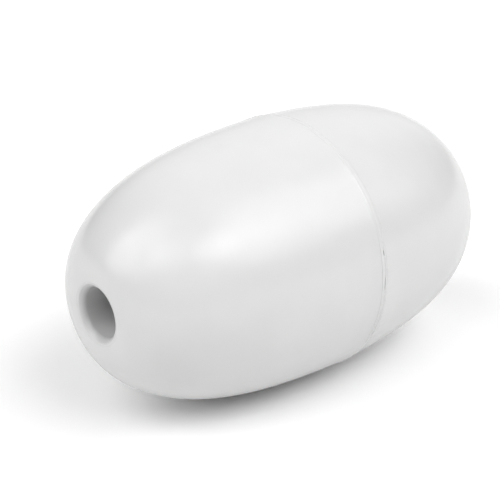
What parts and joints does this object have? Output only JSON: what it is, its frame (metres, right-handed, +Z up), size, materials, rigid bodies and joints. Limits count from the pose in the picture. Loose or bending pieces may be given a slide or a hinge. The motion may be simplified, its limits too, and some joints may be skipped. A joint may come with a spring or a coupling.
{
  "type": "bobber float",
  "caption": "Egg-shaped hollow plastic line float with a rope bore right through its length, made of two welded shells.",
  "frame": {"origin": "the middle of the float's length, on the axis of the bore", "axes": "+X along the bore from the tapered nose towards the blunt tail, +Z up, as the float lies on its side"},
  "size_m": [0.1304, 0.076, 0.076],
  "materials": {
    "shell_plastic": "glossy injection-moulded white plastic, faintly mottled",
    "weld_plastic": "the same white plastic, melted and set again, duller and a little uneven"
  },
  "bodies": {
    "root": {"nose_shell": "shell_plastic", "tail_shell": "shell_plastic", "rim_weld_bead": "weld_plastic", "core_weld_bead": "weld_plastic", "seam_flash": "weld_plastic"}
  },
  "joints": []
}
